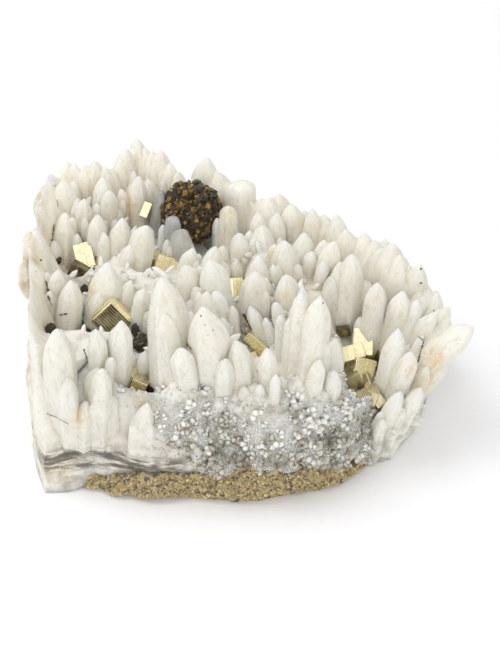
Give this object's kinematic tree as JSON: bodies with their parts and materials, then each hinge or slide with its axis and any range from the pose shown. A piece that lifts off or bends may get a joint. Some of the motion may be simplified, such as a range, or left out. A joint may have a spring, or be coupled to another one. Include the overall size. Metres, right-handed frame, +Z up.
{
  "type": "pyrite with quartz",
  "caption": "Mineral hand specimen: upright milky quartz points with brassy pyrite cubes and a round brown nodule between them, on a flat-bottomed slab of granular pyrite.",
  "frame": {"origin": "on the flat underside of the slab, near the middle of the specimen", "axes": "+Z up out of the underside, +X to the right and +Y to the back as the specimen is seen from the front"},
  "size_m": [0.1439, 0.1259, 0.0714],
  "materials": {
    "milky_quartz": "milky, translucent, glassy crystal faces",
    "granular_pyrite": "rough, granular, with small metallic glints",
    "pyrite": "metallic, striated crystal faces",
    "brown_mineral": "resinous, rough, crystalline"
  },
  "bodies": {
    "root": {"pyrite_matrix": "granular_pyrite", "quartz_cluster": "milky_quartz", "brown_nodule": "brown_mineral", "pyrite_cube_striated": "pyrite", "pyrite_crystal_upper_left": "pyrite", "pyrite_block_middle": "pyrite", "pyrite_crystal_small": "pyrite", "pyrite_crystal_back": "pyrite", "pyrite_crystal_back_low": "pyrite", "pyrite_plate_middle": "pyrite", "pyrite_grains_middle": "pyrite", "pyrite_cluster_right": "pyrite", "pyrite_grains_left": "pyrite", "pyrite_grains_right": "pyrite", "brown_lump_left": "brown_mineral", "brown_lump_beside_cube": "brown_mineral", "brown_strip_left": "brown_mineral", "brown_bit_front_left_upper": "brown_mineral", "brown_bit_front_left_lower": "brown_mineral", "brown_bit_left": "brown_mineral", "brown_bit_left_of_cube": "brown_mineral", "brown_bit_upper_left": "brown_mineral"}
  },
  "joints": []
}
